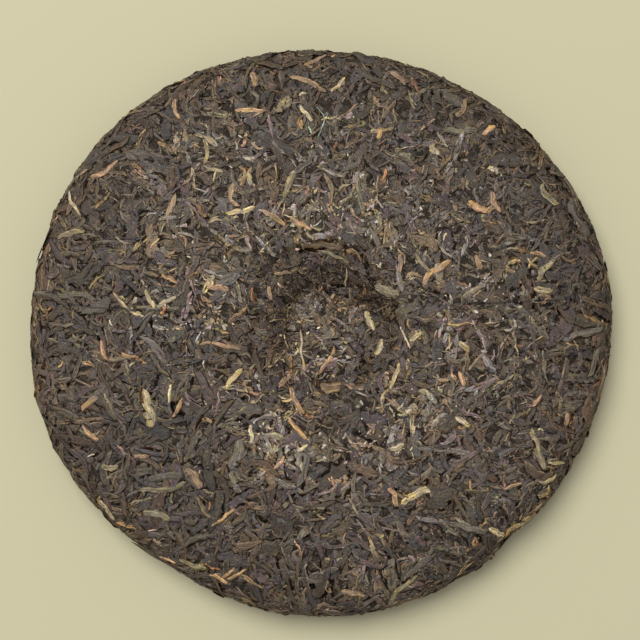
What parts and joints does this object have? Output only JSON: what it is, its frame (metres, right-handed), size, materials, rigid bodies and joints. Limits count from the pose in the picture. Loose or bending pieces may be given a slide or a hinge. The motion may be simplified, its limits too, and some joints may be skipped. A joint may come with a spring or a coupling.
{
  "type": "pressed tea cake",
  "caption": "Round flat cake of pressed dark tea leaf with a rounded rim, a leafy mottled surface and a knot hollow in the middle of its upper face.",
  "frame": {"origin": "bottom centre: the middle of the cake's box, on the plane that its flat foot rests on", "axes": "+Z up, through the cake's thickness and out of the knot hollow; +Y is up in the picture and +X is right in it"},
  "size_m": [0.2038, 0.1978, 0.0249],
  "materials": {
    "pressed_leaf": "matte, dark grey-brown dry leaf with scattered amber and straw pieces"
  },
  "bodies": {
    "root": {"tea_cake": "pressed_leaf"}
  },
  "joints": []
}
